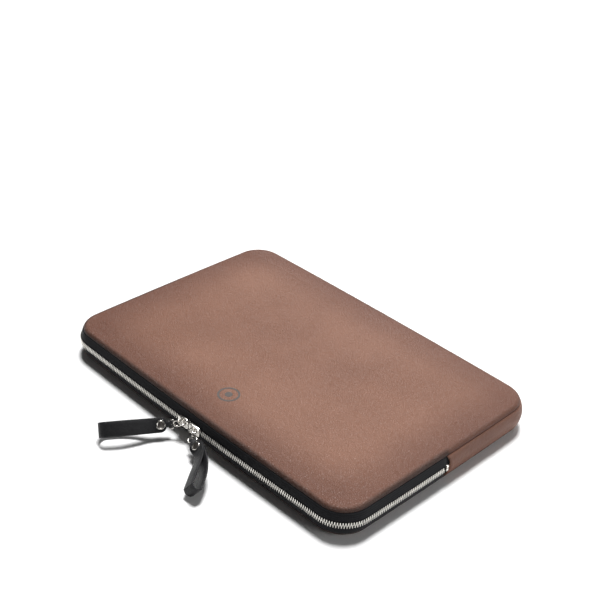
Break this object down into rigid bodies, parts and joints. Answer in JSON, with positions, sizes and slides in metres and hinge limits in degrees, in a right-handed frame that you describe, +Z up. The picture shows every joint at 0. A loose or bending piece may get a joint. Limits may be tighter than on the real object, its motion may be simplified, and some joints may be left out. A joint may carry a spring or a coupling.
{
  "type": "laptop sleeve",
  "caption": "Padded leather laptop sleeve with a two-slider metal zip round its front half and looped leather pulls.",
  "frame": {"origin": "centre of the flat underside", "axes": "+X along the long side, to the right seen from the zipped front; -Y towards the zipped front; +Z up"},
  "size_m": [0.331, 0.2844, 0.0274],
  "materials": {
    "brown_leather": "satin",
    "black_leather": "satin",
    "zip_tape": "matte",
    "foam": "matte",
    "lining": "matte",
    "nickel": "polished"
  },
  "bodies": {
    "shell": {"bottom_leather": "brown_leather", "bottom_foam": "foam", "bottom_lining": "lining", "gusset_leather": "brown_leather", "gusset_foam": "foam", "gusset_lining": "lining", "rear_top_leather": "brown_leather", "rear_top_foam": "foam", "rear_top_lining": "lining", "lower_tape": "zip_tape", "lower_teeth": "nickel", "lower_end_stops": "nickel"},
    "flap": {"front_top_leather": "brown_leather", "front_top_foam": "foam", "front_top_lining": "lining", "upper_tape": "zip_tape", "upper_teeth": "nickel", "upper_end_stops": "nickel"},
    "left_slider": {"left_slider": "nickel"},
    "left_link": {"left_link": "nickel"},
    "left_pull": {"left_strap": "black_leather", "left_rivet_cap": "nickel", "left_rivet_stem": "nickel"},
    "right_slider": {"right_slider": "nickel"},
    "right_link": {"right_link": "nickel"},
    "right_pull": {"right_strap": "black_leather", "right_rivet_cap": "nickel", "right_rivet_stem": "nickel"}
  },
  "joints": [
    {"name": "mouth_open", "type": "hinge", "parent": "shell", "child": "flap", "pos_m": [0, 0.0028, 0.0274], "axis": [-1, 0, 0], "range_deg": [0, 50], "deforming": ["upper_tape", "upper_teeth", "upper_end_stops"]},
    {"name": "left_slider_travel", "type": "slide", "parent": "shell", "child": "left_slider", "axis": [-1, 0, 0], "range_m": [0, 0.124], "deforming": ["lower_teeth"]},
    {"name": "left_link_swing", "type": "hinge", "parent": "left_slider", "child": "left_link", "pos_m": [-0.0066, -0.11665, 0.0137], "axis": [0, 0, -1], "range_deg": [-45, 6]},
    {"name": "left_strap_turn", "type": "hinge", "parent": "left_link", "child": "left_pull", "pos_m": [-0.01431, -0.12291, 0.01097], "axis": [-0.5532, 0.3508, 0.7556], "range_deg": [-10, 45]},
    {"name": "right_slider_travel", "type": "slide", "parent": "shell", "child": "right_slider", "axis": [1, 0, 0], "range_m": [0, 0.124]},
    {"name": "right_link_swing", "type": "hinge", "parent": "right_slider", "child": "right_link", "pos_m": [0.0066, -0.11665, 0.0137], "axis": [0, 0, 1], "range_deg": [-45, 6]},
    {"name": "right_strap_turn", "type": "hinge", "parent": "right_link", "child": "right_pull", "pos_m": [0.01438, -0.12295, 0.01128], "axis": [-0.6553, -0.7081, -0.263], "range_deg": [-10, 45]}
  ],
  "couplings": [
    {"joint": "left_slider_travel", "follows": "mouth_open", "m_per_rad": 0.142},
    {"joint": "right_slider_travel", "follows": "mouth_open", "m_per_rad": 0.142}
  ]
}
